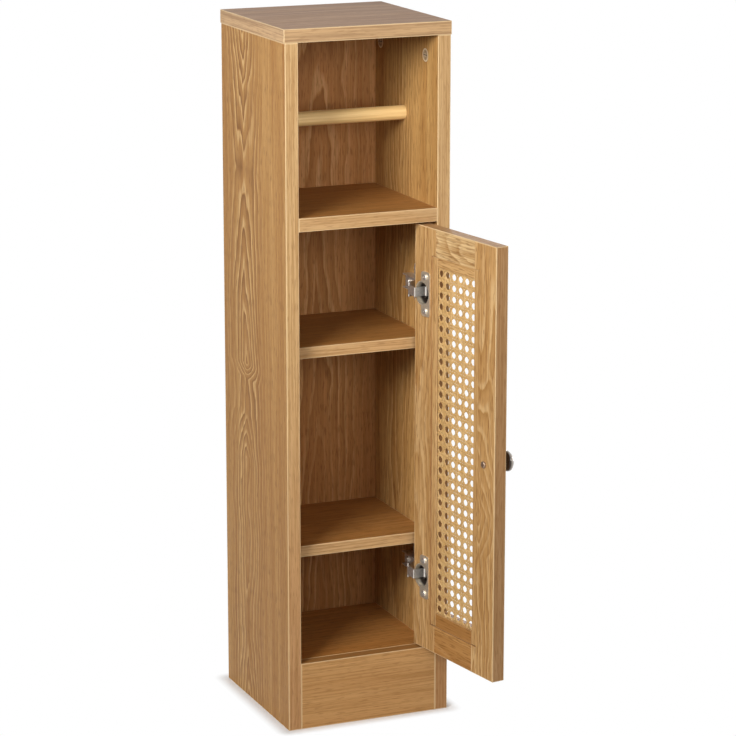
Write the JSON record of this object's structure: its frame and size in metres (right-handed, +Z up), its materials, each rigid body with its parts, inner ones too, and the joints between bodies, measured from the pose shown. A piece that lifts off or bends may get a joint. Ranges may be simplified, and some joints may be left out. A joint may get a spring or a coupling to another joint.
{
  "type": "freestanding toilet roll holder",
  "caption": "Slim wood-board cabinet that holds a toilet roll on a rod in an open upper compartment, above a cupboard with loose shelves and a hinged cane door.",
  "frame": {"origin": "on the floor, in the middle of the cabinet's front edge", "axes": "+X to the right, +Y from the front to the back, +Z up"},
  "size_m": [0.2139, 0.3358, 0.78],
  "materials": {
    "oak_board": "oak-look laminate, satin",
    "oak_door": "oak-look laminate, satin",
    "back_board": "thin oak-look hardboard, satin",
    "beech": "bare wood",
    "rod_wood": "turned wood, satin",
    "cane": "woven cane",
    "nickel": "nickel plated",
    "zinc": "zinc plated",
    "polished_chrome": "polished"
  },
  "bodies": {
    "cabinet": {"top_panel": "oak_board", "left_side_panel": "oak_board", "right_side_panel": "oak_board", "upper_shelf": "oak_board", "middle_shelf": "oak_board", "lower_shelf": "oak_board", "bottom_panel": "oak_board", "plinth_board": "oak_board", "back_panel": "back_board", "top_cam_locks": "zinc", "top_cam_bolts": "zinc", "shelf_cam_locks": "zinc", "shelf_cam_bolts": "zinc", "board_dowels": "beech", "shelf_pins": "nickel", "upper_hinge_plate": "nickel", "lower_hinge_plate": "nickel", "upper_hinge_arm": "nickel", "lower_hinge_arm": "nickel", "hinge_plate_screws": "nickel", "hinge_fixing_screws": "nickel", "hinge_adjusting_screws": "nickel"},
    "roll_rod": {"roll_rod": "rod_wood"},
    "door": {"door_hinge_stile": "oak_door", "door_free_stile": "oak_door", "door_top_rail": "oak_door", "door_bottom_rail": "oak_door", "door_frame_dowels": "beech", "cane_panel": "cane", "cane_beads": "oak_door", "upper_hinge_cup": "nickel", "lower_hinge_cup": "nickel", "hinge_pins": "nickel", "hinge_cup_screws": "nickel", "knob": "polished_chrome", "knob_screw": "zinc"}
  },
  "joints": [
    {"name": "door_swing", "type": "hinge", "parent": "cabinet", "child": "door", "pos_m": [0.0708, 0.0054, 0.3], "axis": [0, 0, 1], "range_deg": [-98.8, 2]},
    {"name": "rod_release", "type": "slide", "parent": "cabinet", "child": "roll_rod", "axis": [1, 0, 0], "range_m": [0, 0.0057]}
  ]
}
